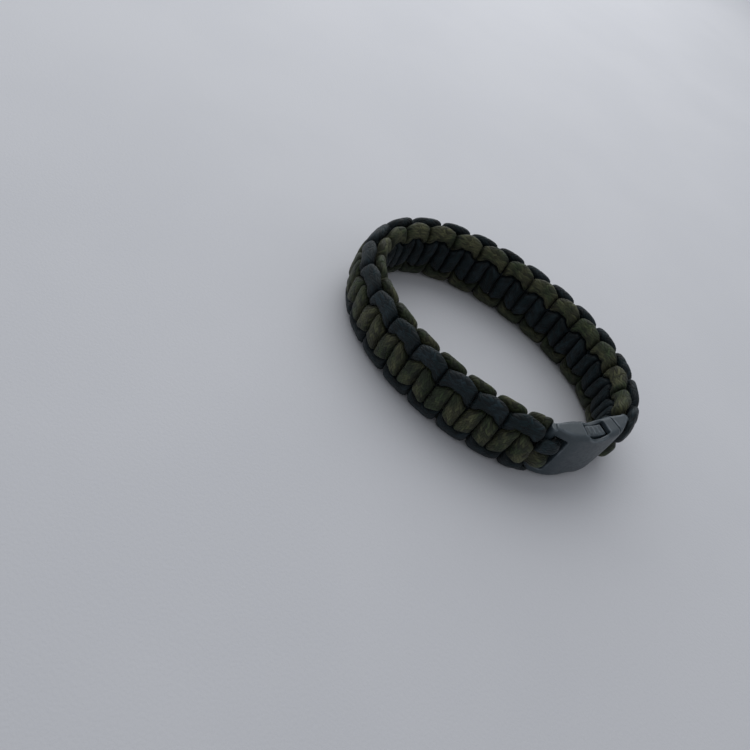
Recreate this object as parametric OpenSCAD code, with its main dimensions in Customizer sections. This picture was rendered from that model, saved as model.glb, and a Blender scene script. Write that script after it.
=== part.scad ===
// Two-colour cobra weave bracelet with a curved side-release buckle, lying on its side.
// Millimetres, +Z up. The origin is under the middle of the loop, on the surface it lies on.
// Two cords make the whole weave. Each one starts at the socket's bar, runs as a core strand
// through the weave, turns round the plug's bar and comes back as a working strand.

/* [Cord] */
// Diameter of the round cord, before the knots flatten it
cord_d = 4; // [3.4:0.1:4.6]
// Half knots along the weave, always an odd number
half_knots = 41; // [33:2:49]
// Corners of a cord's cross-section
cord_sides = 8; // [6:2:10]
// Clearance between a cord and the bar that it turns round
cord_play = 0.16; // [0.12:0.01:0.3]

/* [Loop] */
// How much tighter the loop bends at its ends than on average, as a share
end_tightness = 0.56; // [0.35:0.01:0.65]
// How much squarer than an ellipse the loop is, as a share
squareness = 0.1; // [0:0.01:0.15]
// Distance along the loop from the buckle's middle to the loop's tight end
buckle_offset = 13.2; // [0:0.2:18]

/* [Buckle] */
// Bend radius of the buckle's middle surface
buckle_bend_r = 32; // [26:1:60]
// Thickness of the buckle's body
buckle_t = 6.4; // [5.8:0.1:7.4]
// Width of each rail beside a strap slot
rail_w = 2.6; // [2:0.1:3.2]
// Diameter of each strap bar
bar_d = 2.4; // [2:0.1:3]
// Distance from each end of a strap bar to the side of the buckle
bar_end = 0.6; // [0.4:0.1:1]
// Radius of the long edges of the body
edge_r = 1.5; // [0.8:0.1:2]
// Distance from a strap slot to where the body reaches its full thickness
taper_len = 3; // [1.5:0.1:4]
// Clearance between the plug and the socket
play = 0.3; // [0.2:0.05:0.4]

/* [Socket] */
// Length of the rim between the mouth and the windows
rim_len = 3.4; // [2.5:0.1:4]
// Length of each side window
window_len = 7.6; // [6.5:0.1:8.5]
// Length of the solid end between the windows and the strap slot
end_len = 4.2; // [3:0.1:5.5]
// Thickness of the two faces over the pocket
face_wall = 1.3; // [1:0.1:1.6]
// Thickness of the pocket's side walls
side_wall = 1.5; // [1.2:0.1:2]
// Thickness of the wall between the pocket and the strap slot
pocket_wall = 1.4; // [1:0.1:2]
// Radius of each finger notch
notch_r = 4.4; // [4:0.1:6]
// Depth of the finger notch over each window
notch_depth = 1.7; // [1:0.1:2]

/* [Plug] */
// Thickness of the flange that closes the socket's mouth
flange_t = 1.1; // [0.8:0.1:1.6]
// Length of the root block that carries the prongs
root_len = 2; // [1.5:0.1:2.5]
// Width of each prong's arm
arm_w = 1.9; // [1.6:0.1:2.4]
// Room beside each arm, so that it can bend inwards and out again
flex_gap = 0.6; // [0.4:0.1:0.8]
// Gap between each prong's shoulder and the rim that it locks behind
latch_gap = 0.9; // [0.4:0.1:1.2]
// How far each release button stays below the side of the buckle
button_drop = 0.9; // [0.5:0.1:1.4]
// Length of the slope at the back of each release button
button_slope = 1; // [0.6:0.1:1.6]
// Width of the nose at each prong's tip
nose_w = 1.2; // [0.8:0.1:1.6]
// How much thicker each prong's head is than its arm, towards the middle
head_belly = 1; // [0.4:0.1:1.4]
// Width of the middle guide
guide_w = 2; // [1.6:0.1:3]
// How far the middle guide ends before the prongs' tips
guide_back = 2; // [1:0.5:4]

/* [Hidden] */

// One half knot of the working strand, from the middle of a bar to the top of the edge stitch.
// Its second half mirrors these rows. Columns: along in half-knot pitches, across and out in cord
// diameters, turn of the flat side in degrees, and the half sizes along and across that side.
ALONG = 0;
ACROSS = 1;
OUT = 2;
TURN = 3;
HALF_U = 4;
HALF_V = 5;
KNOT = [
    [0, 0, -0.743, 0, 0.439, 0.323],
    [-0.135, 0.843, -0.733, 10, 0.394, 0.348],
    [-0.25, 1.276, -0.407, 14, 0.266, 0.381],
    [-0.25, 1.617, 0.492, 19, 0.259, 0.47],
    [0.037, 2.041, 0.5, 66, 0.376, 0.353],
    [0.5, 2.1275, 0.42, 90, 0.445, 0.297]
];
// Rows at the weave's ends, with the same columns, but along is in cord diameters past that end
SOCKET_JOIN = [0.08, 0.53, -0.3, -115, 0.31, 0.46];
PLUG_JOIN = [-0.08, 0.53, -0.3, -65, 0.31, 0.46];
FIRST_STITCH = [-0.3, 1.78, 0.6, 90, 0.4, 0.36];
MELTED_TIP = [[0.3, 2.05, 0.5, -90, 0.42, 0.32], [0.45, 2, 0.52, -90, 0.25, 0.2]];
// Turn round the plug's bar, from the core to the edge. Columns: angle round the bar, where 0 is
// its far side and 90 its outer side, and the distance across the band in cord diameters.
PLUG_TURN = [[-106, 0.56], [-70, 0.63], [-30, 0.74], [10, 0.86], [50, 1], [90, 1.2]];
// Turn round the socket's bar, from the cord's tucked end to the core, with the same columns.
SOCKET_TURN = [[96, 0.84], [60, 0.82], [20, 0.78], [-20, 0.73], [-60, 0.66], [-106, 0.57]];
TUCKED_ALONG = 0.13;
TUCKED_ACROSS = 0.85;

// Sizes that follow the cord, as shares of its diameter
knot_rows = len(KNOT) - 1;
pitch = 1.125 * cord_d;
core_half_u = 0.375 * cord_d;
core_half_v = 0.49 * cord_d;
core_lane = 0.51 * cord_d;
core_inset = 0.45 * cord_d;
core_step = 1.5 * cord_d;
turn_half_u = 0.31 * cord_d;
turn_half_v = 0.46 * cord_d;
bar_setback = 0.06 * cord_d;
corner = cos(180 / cord_sides);
weave_len = pitch * half_knots;
band_half_w = cord_d * (KNOT[knot_rows][ACROSS] + KNOT[knot_rows][HALF_V] * corner);

// Buckle sizes that follow the cord and the bar
turn_step = 40;
slot_half_w = 1.62 * cord_d;
buckle_w = 2 * (slot_half_w + rail_w);
turn_r = (bar_d / 2 + cord_play + turn_half_u * corner) / cos(turn_step / 2);
bar_inset = turn_r + bar_setback;
slot_reach = bar_inset + turn_r + turn_half_u * corner + cord_play;
plug_len = slot_reach + flange_t;
socket_len = rim_len + window_len + end_len + slot_reach;
buckle_len = plug_len + play + socket_len;
pocket_half_t = buckle_t / 2 - face_wall;
pocket_half_w = buckle_w / 2 - side_wall;

// The loop's middle line, for a loop whose length is 1: an oval that bends tightest at both ends
oval_steps = 400;
function oval_heading(s) =
    90 + 360 * s + 90 / PI * (end_tightness * sin(720 * s) + squareness / 2 * sin(1440 * s));
oval_sum = [
    for (i = 0, x = 0, y = 0; i <= oval_steps;
        x = x + cos(oval_heading((i + 0.5) / oval_steps)) / oval_steps,
        y = y + sin(oval_heading((i + 0.5) / oval_steps)) / oval_steps,
        i = i + 1) [x, y]
];
oval_middle = oval_sum[oval_steps / 2] / 2;
function oval_at(s) =
    let (u = (s - floor(s)) * oval_steps, i = floor(u), t = u - i)
    oval_sum[i] * (1 - t) + oval_sum[min(i + 1, oval_steps)] * t - oval_middle;

// The share of the loop that the buckle takes, so that its ends lie the buckle's chord apart
first_share = 0.13;
share_tries = 8;
function bend_angle(d) = d / buckle_bend_r * 180 / PI;
bend_deg = bend_angle(buckle_len);
buckle_chord = 2 * buckle_bend_r * sin(bend_deg / 2);
function loop_for(share) = weave_len / (1 - share);
function chord_for(share) =
    let (l = loop_for(share), m = -buckle_offset / l)
    l * norm(oval_at(m + share / 2) - oval_at(m - share / 2));
function solve_share(share, tries) =
    tries == 0 ? share : solve_share(share * buckle_chord / chord_for(share), tries - 1);
buckle_share = solve_share(first_share, share_tries);
loop_len = loop_for(buckle_share);
buckle_mid = -buckle_offset / loop_len;
plug_end = buckle_mid + buckle_share / 2;
socket_end = buckle_mid - buckle_share / 2;

// The buckle's place: its bend's centre, and the direction of its middle
end_a = loop_len * oval_at(socket_end);
end_b = loop_len * oval_at(plug_end);
chord_dir = (end_b - end_a) / norm(end_b - end_a);
chord_out = [chord_dir[1], -chord_dir[0]];
bend_centre = (end_a + end_b) / 2 - chord_out * buckle_bend_r * cos(bend_deg / 2);
bend_mid = atan2(chord_out[1], chord_out[0]);

// A point of the band: w along the weave from the plug's end, z across it and n outwards.
// Past either end of the weave the band follows the buckle's bend.
blend = 0.35 * cord_d;
function on_loop(w, n) =
    let (s = plug_end + w / loop_len, h = oval_heading(s))
    loop_len * oval_at(s) + n * [sin(h), -cos(h)];
function on_bend(w, n) =
    let (past = w < weave_len / 2 ? buckle_len / 2 + w : w - weave_len - buckle_len / 2,
         a = bend_mid + bend_angle(past))
    bend_centre + (buckle_bend_r + n) * [cos(a), sin(a)];
function weave_share(w) =
    let (inside = min(w, weave_len - w))
    max(0, min(1, (inside + blend) / (2 * blend)));
function band_point(w, z, n) =
    let (t = weave_share(w), p = on_loop(w, n) * t + on_bend(w, n) * (1 - t))
    [p[0], p[1], z + band_half_w];

// The working strand as rows of w, z, n, turn and the two half sizes. Bars lie on the inner face.
function mirrored(r) = [1 - r[ALONG], r[ACROSS], r[OUT], 180 - r[TURN], r[HALF_U], r[HALF_V]];
function knot_row(k) = k <= knot_rows ? KNOT[k] : mirrored(KNOT[2 * knot_rows - k]);
function strand_row(i, k) =
    let (r = knot_row(k), side = i % 2 == 0 ? -1 : 1)
    [pitch * (i + 0.5 + r[ALONG]), side * cord_d * r[ACROSS], cord_d * r[OUT],
     -180 * i - r[TURN], cord_d * r[HALF_U], cord_d * r[HALF_V]];
working_rows = [
    for (k = [knot_rows : 2 * knot_rows - 1]) strand_row(-1, k),
    for (i = [0 : half_knots - 2]) for (k = [0 : 2 * knot_rows - 1]) strand_row(i, k),
    for (k = [0 : knot_rows]) strand_row(half_knots - 1, k)
];
function end_row(w, r, side = 1) =
    [w + cord_d * r[ALONG], side * cord_d * r[ACROSS], cord_d * r[OUT],
     r[TURN], cord_d * r[HALF_U], cord_d * r[HALF_V]];

// The melted tip, just past the last edge stitch
tip_side = half_knots % 2 == 0 ? 1 : -1;
tip_rows = [for (r = MELTED_TIP) end_row(weave_len, r, tip_side)];

// The tucked end and the turn round the socket's bar, the core, and the turn round the plug's bar
socket_rows = [
    [weave_len + TUCKED_ALONG * cord_d, TUCKED_ACROSS * cord_d, turn_r, 90, turn_half_u, turn_half_v],
    for (r = SOCKET_TURN)
        [weave_len + bar_inset + turn_r * cos(r[0]), r[1] * cord_d, turn_r * sin(r[0]), r[0],
         turn_half_u, turn_half_v],
    end_row(weave_len, SOCKET_JOIN)
];
core_count = floor((weave_len - cord_d) / core_step);
core_rows = [
    for (i = [core_count : -1 : 0])
        [core_inset + (weave_len - 2 * core_inset) * i / core_count, core_lane, 0, -90,
         core_half_u, core_half_v]
];
plug_rows = [
    end_row(0, PLUG_JOIN),
    for (r = PLUG_TURN)
        [-bar_inset - turn_r * cos(r[0]), r[1] * cord_d, turn_r * sin(r[0]), 180 - r[0],
         turn_half_u, turn_half_v],
    end_row(0, FIRST_STITCH)
];
cord_rows = concat(socket_rows, core_rows, plug_rows, working_rows, tip_rows);

// Turns the rows into rings of corners. face 1 keeps the bars inside, face -1 turns the strand
// half round the band's own line, so that its bars lie outside.
function place_of(r) = [r[0], r[1], r[2]];
function ring(rows, i, face) =
    let (here = rows[i],
         ahead = place_of(rows[min(i + 1, len(rows) - 1)]) - place_of(rows[max(i - 1, 0)]),
         t = ahead / norm(ahead),
         flat = [cos(here[TURN]), 0, sin(here[TURN])],
         u = flat - t * (flat * t),
         u1 = u / norm(u),
         v1 = cross(t, u1))
    [for (j = [0 : cord_sides - 1])
        let (a = (j + 0.5) * 360 / cord_sides,
             p = place_of(here) + u1 * here[HALF_U] * cos(a) + v1 * here[HALF_V] * sin(a))
        band_point(p[0], face * p[1], face * p[2])];

module cord(face) {
    m = cord_sides;
    last = len(cord_rows) - 1;
    points = [for (i = [0 : last]) each ring(cord_rows, i, face)];
    sides = [
        for (i = [0 : last - 1]) for (j = [0 : m - 1])
            [i * m + j, (i + 1) * m + j, (i + 1) * m + (j + 1) % m, i * m + (j + 1) % m]
    ];
    ends = [[for (j = [0 : m - 1]) j], [for (j = [m - 1 : -1 : 0]) last * m + j]];
    polyhedron(points = points, faces = concat(sides, ends), convexity = 10);
}

// Shapes of the buckle. They are drawn round the bend's centre with the buckle's middle along +X,
// the plug at positive angles and the socket at negative ones. d is a distance along the bend.
plug_tip = buckle_len / 2;
socket_tip = -buckle_len / 2;
seam = plug_tip - plug_len;
mouth = seam - play;
window_a = mouth - rim_len;
window_b = window_a - window_len;
pocket_end = socket_tip + slot_reach + pocket_wall;

// How far cuts run past a face, joined blocks run into each other, a taper ends past the body,
// each bar stands proud of the rails that hold it, and a window is slimmer than the pocket
cut_past = 1;
lap = 0.5;
taper_past = 0.3;
bar_proud = 0.1;
window_step = 0.1;

module on_buckle() {
    translate([bend_centre[0], bend_centre[1], band_half_w]) rotate([0, 0, bend_mid]) children();
}

// A curved bar between two distances, with a rectangle from n0 to n1 and z0 to z1 as its section
module bent_bar(d0, d1, n0, n1, z0, z1) {
    rotate([0, 0, bend_angle(d0)])
        rotate_extrude(angle = bend_angle(d1 - d0), $fn = 96)
            translate([buckle_bend_r + n0, z0]) square([n1 - n0, z1 - z0]);
}

module rounded_section(half_t, half_w, r) {
    square([2 * half_t, 2 * (half_w - r)], center = true);
    square([2 * (half_t - r), 2 * half_w], center = true);
    for (x = [-1, 1], y = [-1, 1])
        translate([x * (half_t - r), y * (half_w - r)]) circle(r = r, $fn = 32);
}

// The body's curved block with rounded long edges
module bent_block(d0, d1) {
    rotate([0, 0, bend_angle(d0)])
        rotate_extrude(angle = bend_angle(d1 - d0), $fn = 96)
            translate([buckle_bend_r, 0]) rounded_section(buckle_t / 2, buckle_w / 2, edge_r);
}

// Seen along the bar, each half thins from its full thickness to the bar's own diameter
taper_steps = 8;
thin_half = bar_d / 2 - bar_proud;
function taper_half(f) = thin_half + (buckle_t / 2 + taper_past - thin_half) * sin(90 * f);
function polar(d, n) = (buckle_bend_r + n) * [cos(bend_angle(d)), sin(bend_angle(d))];
module thinned_outline(tip, inner, side) {
    bar_at = tip - side * bar_inset;
    full_at = tip - side * (slot_reach + taper_len);
    marks = [for (i = [0 : taper_steps]) i / taper_steps];
    outer_line = [for (f = marks) polar(bar_at + (full_at - bar_at) * f, taper_half(f))];
    inner_line = [for (f = marks) polar(bar_at + (full_at - bar_at) * f, -taper_half(f))];
    middle = [for (n = [buckle_t, -buckle_t]) polar(inner, n)];
    reach = [for (n = [buckle_t, -buckle_t]) polar(full_at, n)];
    back = [for (i = [taper_steps : -1 : 0]) inner_line[i]];
    polygon(concat(outer_line, [reach[0], middle[0], middle[1], reach[1]], back));
}

// One half's solid body: a curved block, thinned to the bar, open at the strap slot
module half_body(tip, inner, side) {
    bar_at = tip - side * bar_inset;
    slot_end = tip - side * slot_reach;
    past_tip = tip + side * cut_past;
    difference() {
        intersection() {
            bent_block(min(bar_at, inner), max(bar_at, inner));
            linear_extrude(height = buckle_w + 2 * cut_past, center = true)
                thinned_outline(tip, inner, side);
        }
        bent_bar(min(past_tip, slot_end), max(past_tip, slot_end),
                 -buckle_t, buckle_t, -slot_half_w, slot_half_w);
    }
    rotate([0, 0, bend_angle(bar_at)]) translate([buckle_bend_r, 0, 0])
        cylinder(d = bar_d, h = buckle_w - 2 * bar_end, center = true, $fn = 48);
}

// Finger notches cut into both faces at the windows
module side_notches() {
    middle = (window_a + window_b) / 2;
    for (side = [-1, 1])
        rotate([0, 0, bend_angle(middle)])
            translate([buckle_bend_r, 0, side * (buckle_w / 2 + notch_r - notch_depth)])
                rotate([0, 90, 0])
                    cylinder(r = notch_r, h = 2 * buckle_t, center = true, $fn = 64);
}

window_half_t = pocket_half_t - window_step;
module buckle_socket() {
    window_in = pocket_half_w - lap;
    window_out = buckle_w / 2 + cut_past;
    color("dimgray") on_buckle() difference() {
        half_body(socket_tip, mouth, -1);
        bent_bar(pocket_end, mouth + cut_past,
                 -pocket_half_t, pocket_half_t, -pocket_half_w, pocket_half_w);
        bent_bar(window_b, window_a, -window_half_t, window_half_t, window_in, window_out);
        bent_bar(window_b, window_a, -window_half_t, window_half_t, -window_out, -window_in);
        side_notches();
    }
}

// A prong: an arm from the root block to a wide head, whose side is the release button
head_a = window_a - latch_gap;
head_b = window_b + play;
nose_b = pocket_end + 2 * play;
prong_half_t = window_half_t - play;
root_half_t = pocket_half_t - play;
root_half_w = pocket_half_w - play;
arm_side = root_half_w - flex_gap;
arm_in = arm_side - arm_w;
button_out = buckle_w / 2 - button_drop;
function polar_y(d) = buckle_bend_r * sin(bend_angle(d));
module prong_outline() {
    root_in = polar_y(seam - root_len + lap);
    polygon([
        [root_in, arm_in],
        [root_in, arm_side],
        [polar_y(head_a), arm_side],
        [polar_y(head_a), button_out],
        [polar_y(head_b + button_slope), button_out],
        [polar_y(head_b), arm_side],
        [polar_y(nose_b), arm_in + nose_w / 2],
        [polar_y(nose_b), arm_in - nose_w / 2],
        [polar_y(head_b), arm_in - head_belly],
        [polar_y(head_a), arm_in]
    ]);
}

module buckle_plug() {
    guide_half_t = prong_half_t - play;
    color("dimgray") on_buckle() {
        half_body(plug_tip, seam, 1);
        bent_bar(seam - root_len, seam + lap, -root_half_t, root_half_t, -root_half_w, root_half_w);
        bent_bar(nose_b + guide_back, seam, -guide_half_t, guide_half_t, -guide_w / 2, guide_w / 2);
        for (side = [-1, 1])
            intersection() {
                bent_bar(nose_b - cut_past, seam, -prong_half_t, prong_half_t,
                         -buckle_w / 2, buckle_w / 2);
                rotate([90, 0, 90]) linear_extrude(height = 2 * buckle_bend_r)
                    scale([1, side]) prong_outline();
            }
    }
}

module olive_cord() { color("#6f7560") cord(-1); }
module black_cord() { color("#2b2e33") cord(1); }

olive_cord();
black_cord();
buckle_socket();
buckle_plug();
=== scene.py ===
"""A two-colour woven cord bracelet with a curved side-release buckle, dressed for rendering.

Pieces are shaped in millimetres, along the band or the flat buckle, and stored in metres in the
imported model's own frame. The cords follow the same weave as the model's solids, then swell until
they press on each other. The buckle's halves are carved flat and bent to the loop.
"""

import logging
import math
from dataclasses import dataclass, field
from enum import Enum, IntEnum

import bmesh
import bpy
import numpy as np
from mathutils import Matrix, Vector
from mathutils.bvhtree import BVHTree


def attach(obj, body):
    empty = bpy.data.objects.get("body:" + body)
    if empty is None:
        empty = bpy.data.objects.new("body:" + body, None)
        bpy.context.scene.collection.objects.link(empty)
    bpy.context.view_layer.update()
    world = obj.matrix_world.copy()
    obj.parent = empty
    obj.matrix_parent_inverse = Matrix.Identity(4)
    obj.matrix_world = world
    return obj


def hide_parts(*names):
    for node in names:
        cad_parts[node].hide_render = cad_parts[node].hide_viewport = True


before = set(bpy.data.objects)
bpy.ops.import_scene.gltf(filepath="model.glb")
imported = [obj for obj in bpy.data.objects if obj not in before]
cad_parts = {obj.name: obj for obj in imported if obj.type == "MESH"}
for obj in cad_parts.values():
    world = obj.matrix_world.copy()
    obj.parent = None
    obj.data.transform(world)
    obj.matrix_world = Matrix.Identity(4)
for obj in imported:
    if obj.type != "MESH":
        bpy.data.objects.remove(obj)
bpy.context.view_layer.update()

MM = 0.001
SAME_PLACE = 1e-7
SHEATH_MAP = "sheath"
log = logging.getLogger("bracelet")

Array = np.ndarray
Piece = bpy.types.Object
Form = bmesh.types.BMesh
Node = bpy.types.Node
Socket = bpy.types.NodeSocket
Tree = bpy.types.NodeTree
Number = float | Socket
Span = tuple[float, float]
Triple = tuple[float, float, float]


class Column(IntEnum):
    """Columns of a strand's rows: place in the band, turn of the flat side, and half sizes."""

    ALONG = 0
    ACROSS = 1
    OUT = 2
    TURN = 3
    HALF_U = 4
    HALF_V = 5


class Facing(IntEnum):
    """Which face of the band a cord's bars lie on."""

    BARS_INSIDE = 1
    BARS_OUTSIDE = -1


class Carving(Enum):
    """How one flat form changes another."""

    CUT = "DIFFERENCE"
    ADD = "UNION"


class Pointing(Enum):
    """Which way a rod points, as the axis that it is turned about from standing outwards."""

    ACROSS = "X"
    OUTWARDS = "Z"


@dataclass
class BraceletSizes:
    """The bracelet's sizes in millimetres. A share is of the cord's diameter."""

    cord_d: float = 4.0
    half_knots: int = 41
    solid_sides: int = 8
    cord_play: float = 0.16
    end_tightness: float = 0.56
    squareness: float = 0.1
    pitch_share: float = 1.125
    edge_share: float = 2.1275
    edge_half_share: float = 0.297
    turn_u_share: float = 0.31
    turn_v_share: float = 0.46
    turn_step_deg: float = 40.0
    end_gap_share: float = 0.06
    slot_share: float = 1.62
    buckle_offset: float = 13.2
    bend_r: float = 32.0
    thickness: float = 6.4
    rail_w: float = 2.6
    rail_step: float = 0.1
    bar_d: float = 2.4
    bar_end: float = 0.6
    edge_r: float = 1.5
    taper_len: float = 3.0
    play: float = 0.3
    rim_len: float = 3.4
    window_len: float = 7.6
    window_step: float = 0.1
    end_len: float = 4.2
    face_wall: float = 1.3
    side_wall: float = 1.5
    pocket_wall: float = 1.4
    notch_r: float = 4.4
    notch_depth: float = 1.7
    flange_t: float = 1.1
    root_len: float = 2.0
    arm_w: float = 1.9
    flex_gap: float = 0.6
    latch_gap: float = 0.9
    button_drop: float = 0.9
    button_slope: float = 1.0
    nose_w: float = 1.2
    head_belly: float = 1.0
    guide_w: float = 2.0
    guide_back: float = 2.0

    def __post_init__(self) -> None:
        """Works out the sizes that follow from the given ones."""
        d = self.cord_d
        corner = math.cos(math.pi / self.solid_sides)
        self.pitch = self.pitch_share * d
        self.weave_len = self.pitch * self.half_knots
        self.turn_half_u = self.turn_u_share * d
        self.turn_half_v = self.turn_v_share * d
        self.half_w = d * (self.edge_share + self.edge_half_share * corner)
        self.slot_half_w = self.slot_share * d
        self.buckle_half_w = self.slot_half_w + self.rail_w
        reach = self.bar_d / 2 + self.cord_play + self.turn_half_u * corner
        self.turn_r = reach / math.cos(math.radians(self.turn_step_deg / 2))
        self.bar_inset = self.turn_r + self.end_gap_share * d
        self.slot_reach = self.bar_inset + self.turn_r + self.turn_half_u * corner + self.cord_play
        plug_len = self.slot_reach + self.flange_t
        socket_len = self.rim_len + self.window_len + self.end_len + self.slot_reach
        self.buckle_len = plug_len + self.play + socket_len
        self.tip = self.buckle_len / 2
        self.seam = self.tip - plug_len
        self.mouth = self.seam - self.play
        self.window_a = self.mouth - self.rim_len
        self.window_b = self.window_a - self.window_len
        self.pocket_end = self.slot_reach + self.pocket_wall - self.tip
        self.pocket_half_t = self.thickness / 2 - self.face_wall
        self.pocket_half_w = self.buckle_half_w - self.side_wall
        self.window_half_t = self.pocket_half_t - self.window_step


class BandPath:
    """The oval loop that the band follows, with the buckle's arc in it."""

    STEPS = 400
    FIRST_SHARE = 0.13
    SHARE_TRIES = 8
    BLEND_SHARE = 0.35

    def __init__(self, sizes: BraceletSizes) -> None:
        """Sums the oval and places the buckle in it.

        Args:
            sizes: The bracelet's sizes.
        """
        self.sizes = sizes
        heading = self.heading((np.arange(self.STEPS) + 0.5) / self.STEPS)
        steps = np.c_[np.cos(heading), np.sin(heading)] / self.STEPS
        self._sum = np.vstack([[0.0, 0.0], np.cumsum(steps, axis=0)])
        self._middle = self._sum[self.STEPS // 2] / 2
        bend = sizes.buckle_len / sizes.bend_r
        chord = 2 * sizes.bend_r * math.sin(bend / 2)
        share = self.FIRST_SHARE
        for _ in range(self.SHARE_TRIES):
            start, end, length = self._buckle_ends(share)
            share *= chord / (length * float(np.linalg.norm(end - start)))
        start, end, self.loop_len = self._buckle_ends(share)
        self.plug_end = share / 2 - sizes.buckle_offset / self.loop_len
        start, end = self.loop_len * start, self.loop_len * end
        along = (end - start) / np.linalg.norm(end - start)
        outwards = np.array([along[1], -along[0]])
        self.bend_centre = (start + end) / 2 - outwards * sizes.bend_r * math.cos(bend / 2)
        self.bend_mid = math.atan2(outwards[1], outwards[0])

    def heading(self, s: Array) -> Array:
        """Direction of the unit loop, in radians.

        Args:
            s: Shares of the loop's length.

        Returns:
            One direction a share.
        """
        z = self.sizes
        swing = z.end_tightness * np.sin(4 * np.pi * s) + z.squareness / 2 * np.sin(8 * np.pi * s)
        return np.pi / 2 + 2 * np.pi * s + swing / 2

    def oval_at(self, s: Array | float) -> Array:
        """Places on the unit loop.

        Args:
            s: Shares of the loop's length.

        Returns:
            One place a share, in two columns.
        """
        u = (np.asarray(s, float) - np.floor(s)) * self.STEPS
        i = np.floor(u).astype(int)
        t = (u - i)[..., None]
        after = np.minimum(i + 1, self.STEPS)
        return self._sum[i] * (1 - t) + self._sum[after] * t - self._middle

    def _buckle_ends(self, share: float) -> tuple[Array, Array, float]:
        """Where the buckle sits if it takes a share of the loop.

        Args:
            share: That share.

        Returns:
            The places of its socket's end and its plug's end on the unit loop, and the loop's length.
        """
        length = self.sizes.weave_len / (1 - share)
        middle = -self.sizes.buckle_offset / length
        return self.oval_at(middle - share / 2), self.oval_at(middle + share / 2), length

    def on_buckle(self, flat: Array) -> Array:
        """Bends flat buckle coordinates to the loop.

        Args:
            flat: Distances along the buckle from its middle, the plug's side positive, across the
                band from its middle, and outwards from the buckle's middle surface.

        Returns:
            Points of the model, in millimetres.
        """
        d, z, n = np.moveaxis(flat, -1, 0)
        a = self.bend_mid + d / self.sizes.bend_r
        r = self.sizes.bend_r + n
        x = self.bend_centre[0] + r * np.cos(a)
        y = self.bend_centre[1] + r * np.sin(a)
        return np.stack([x, y, z + self.sizes.half_w], axis=-1)

    def on_band(self, flat: Array) -> Array:
        """Bends flat band coordinates to the loop.

        Args:
            flat: Distances along the weave from the plug's end, across the band from its middle,
                and outwards from the band's middle surface.

        Returns:
            Points of the model, in millimetres.
        """
        sizes = self.sizes
        w, z, n = np.moveaxis(flat, -1, 0)
        s = self.plug_end + w / self.loop_len
        h = self.heading(s)
        loop = self.loop_len * self.oval_at(s) + n[..., None] * np.stack([np.sin(h), -np.cos(h)], -1)
        half = sizes.buckle_len / 2
        past = np.where(w < sizes.weave_len / 2, half + w, w - sizes.weave_len - half)
        bend = self.on_buckle(np.stack([past, z, n], axis=-1))
        blend = self.BLEND_SHARE * sizes.cord_d
        inside = np.minimum(w, sizes.weave_len - w)
        t = np.clip((inside + blend) / (2 * blend), 0, 1)[..., None]
        plan = loop * t + bend[..., :2] * (1 - t)
        return np.concatenate([plan, bend[..., 2:]], axis=-1)


@dataclass(frozen=True)
class BandSection:
    """The rounded outline that the woven band fills: flat faces that curve round to both edges."""

    sizes: BraceletSizes
    rise: float = 0.6
    half_t_share: float = 1.1
    power: float = 2.2
    halvings: int = 12

    def reach(self, centre: Array, spokes: Array, most: float) -> Array:
        """How often each spoke fits between its centre and the outline.

        Args:
            centre: Ring centres in flat band coordinates.
            spokes: Vectors from each centre to its ring's points.
            most: The largest answer.

        Returns:
            One factor a spoke.
        """
        half_w = self.sizes.half_w + self.rise
        half_t = self.half_t_share * self.sizes.cord_d
        low = np.zeros(spokes.shape[:2])
        high = np.full(spokes.shape[:2], most)
        for _ in range(self.halvings):
            middle = (low + high) / 2
            at = np.abs(centre[:, None] + spokes * middle[..., None])
            across, out = at[..., Column.ACROSS], at[..., Column.OUT]
            inside = (out / half_t) ** 2 + (across / half_w) ** self.power < 1
            low = np.where(inside, middle, low)
            high = np.where(inside, high, middle)
        return low


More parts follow.
